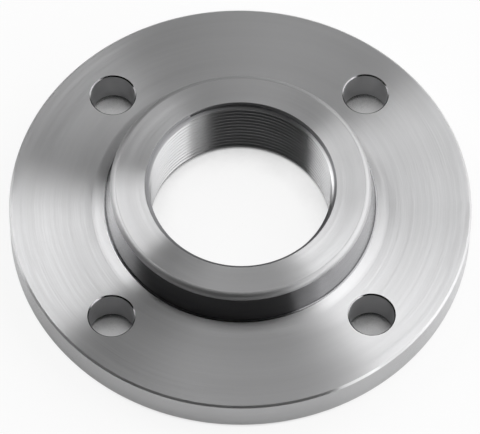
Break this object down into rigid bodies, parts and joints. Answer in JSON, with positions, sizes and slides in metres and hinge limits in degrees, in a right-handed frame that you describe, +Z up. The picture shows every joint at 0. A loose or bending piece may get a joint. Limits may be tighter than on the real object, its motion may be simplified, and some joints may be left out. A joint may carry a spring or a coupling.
{
  "type": "pipe flange",
  "caption": "Round turned steel flange with a conical hub and an internally threaded bore, screwed onto a pipe's end and bolted to a mating flange.",
  "frame": {"origin": "centre of the bore on the raised sealing face, which the flange stands on", "axes": "+Z up the bore towards the hub's end; +X and +Y are the centre lines that the bolt holes straddle"},
  "size_m": [0.185, 0.185, 0.033],
  "materials": {
    "turned_steel": "bright turned, with fine concentric tool marks"
  },
  "bodies": {
    "root": {"flange": "turned_steel"}
  },
  "joints": []
}
